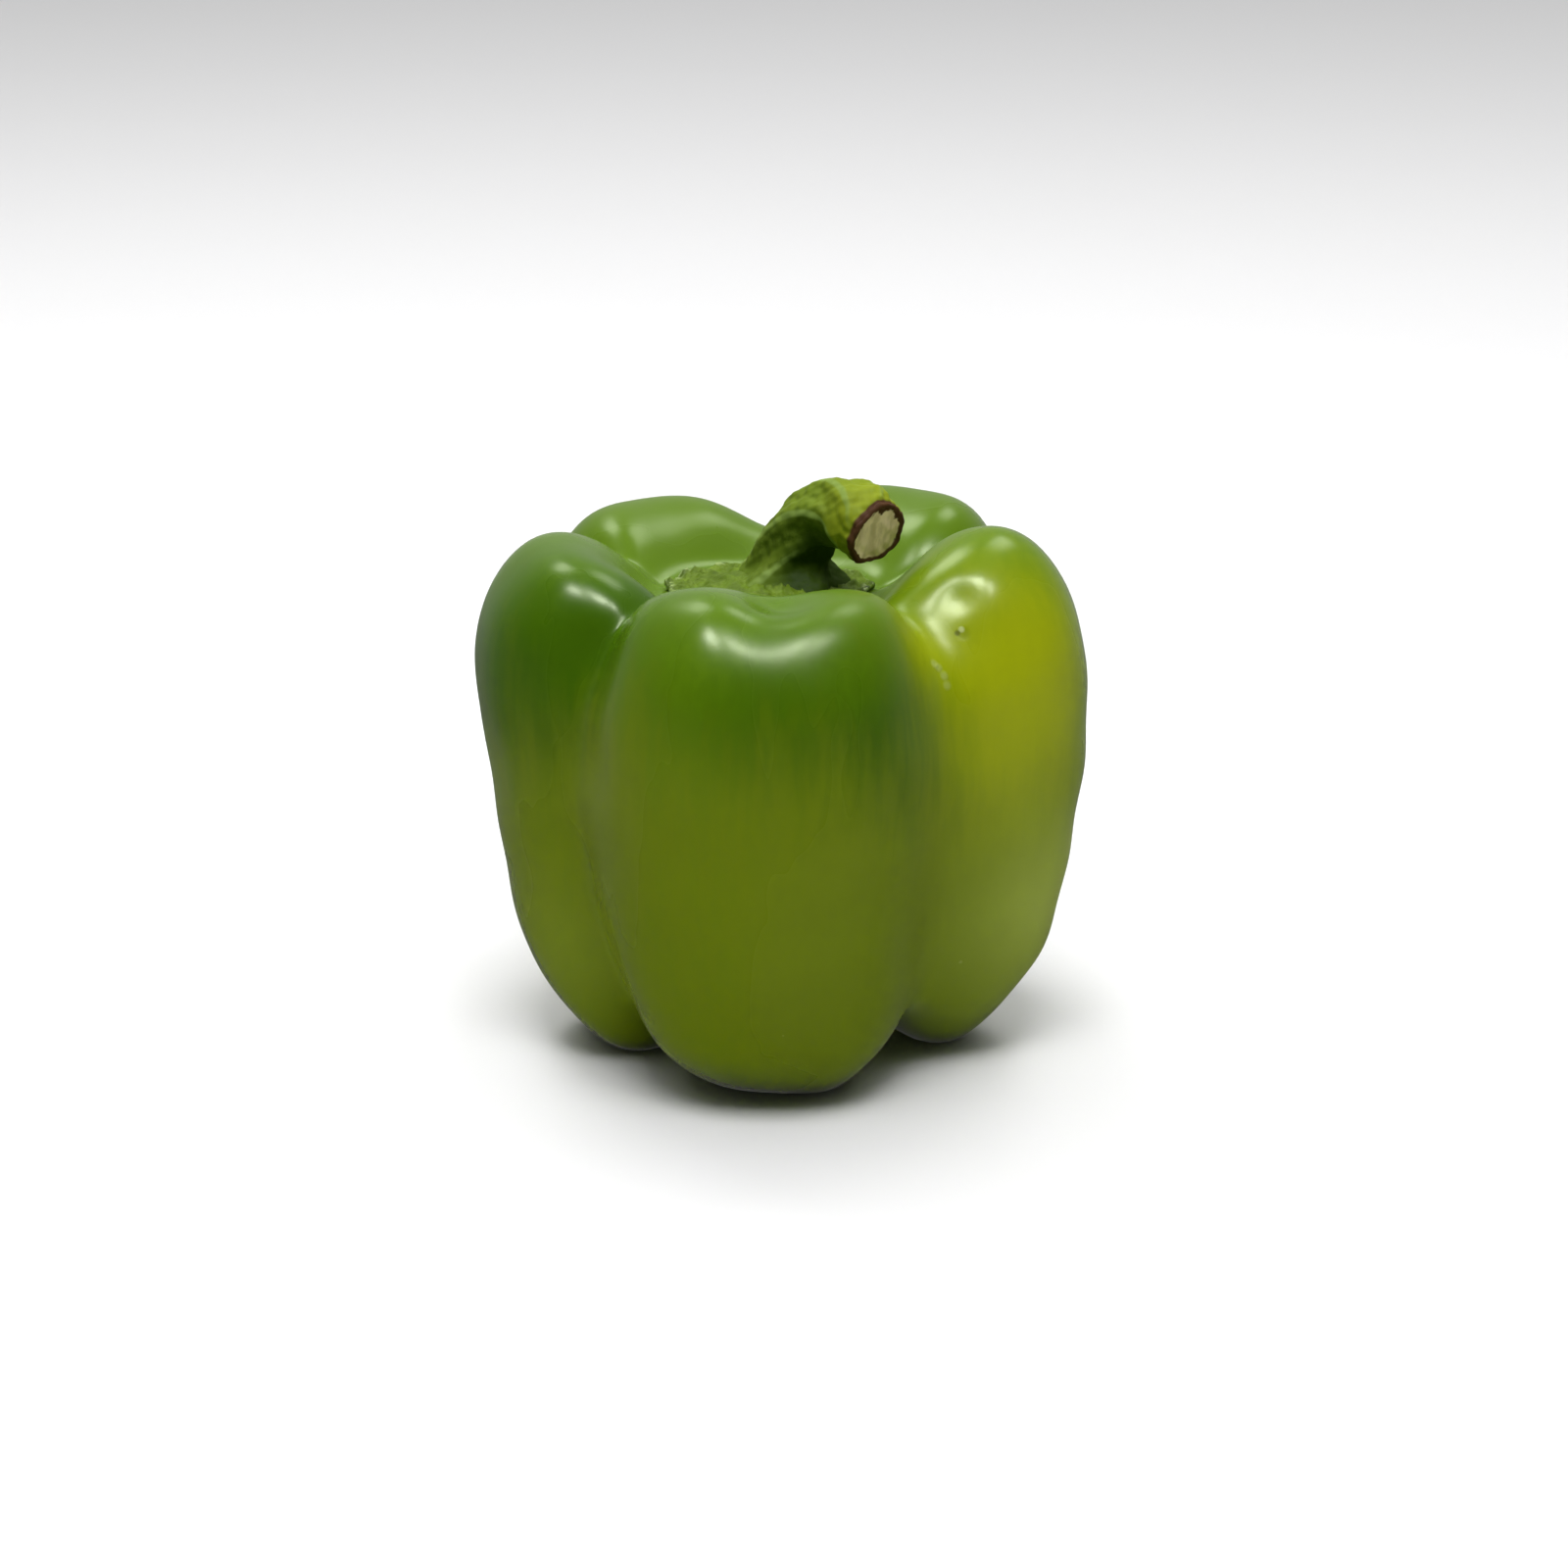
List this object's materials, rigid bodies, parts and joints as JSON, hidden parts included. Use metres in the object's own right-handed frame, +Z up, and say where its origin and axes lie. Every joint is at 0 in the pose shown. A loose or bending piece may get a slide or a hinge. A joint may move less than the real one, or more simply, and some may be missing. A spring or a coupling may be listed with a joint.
{
  "type": "bell pepper",
  "caption": "Blocky green bell pepper with deep furrows between its lobes, a sunken crown, a calyx and a hooked stem with a cut end.",
  "frame": {"origin": "centre of the base of the bounding box, on the surface that the pepper stands on", "axes": "+Z up from the feet to the crown; -Y towards the widest, front lobe; the stem leans over towards +X and -Y"},
  "size_m": [0.0872, 0.088, 0.0842],
  "materials": {
    "skin": "smooth waxy green skin with an even gloss, yellower on one lobe and towards the base",
    "calyx": "pale yellow green, finely haired, with darker curled edges",
    "stem": "dull ribbed green with a fine fuzz, and a dry tan cut end with a brown rim"
  },
  "bodies": {
    "root": {"fruit": "skin", "calyx": "calyx", "stem": "stem"}
  },
  "joints": []
}
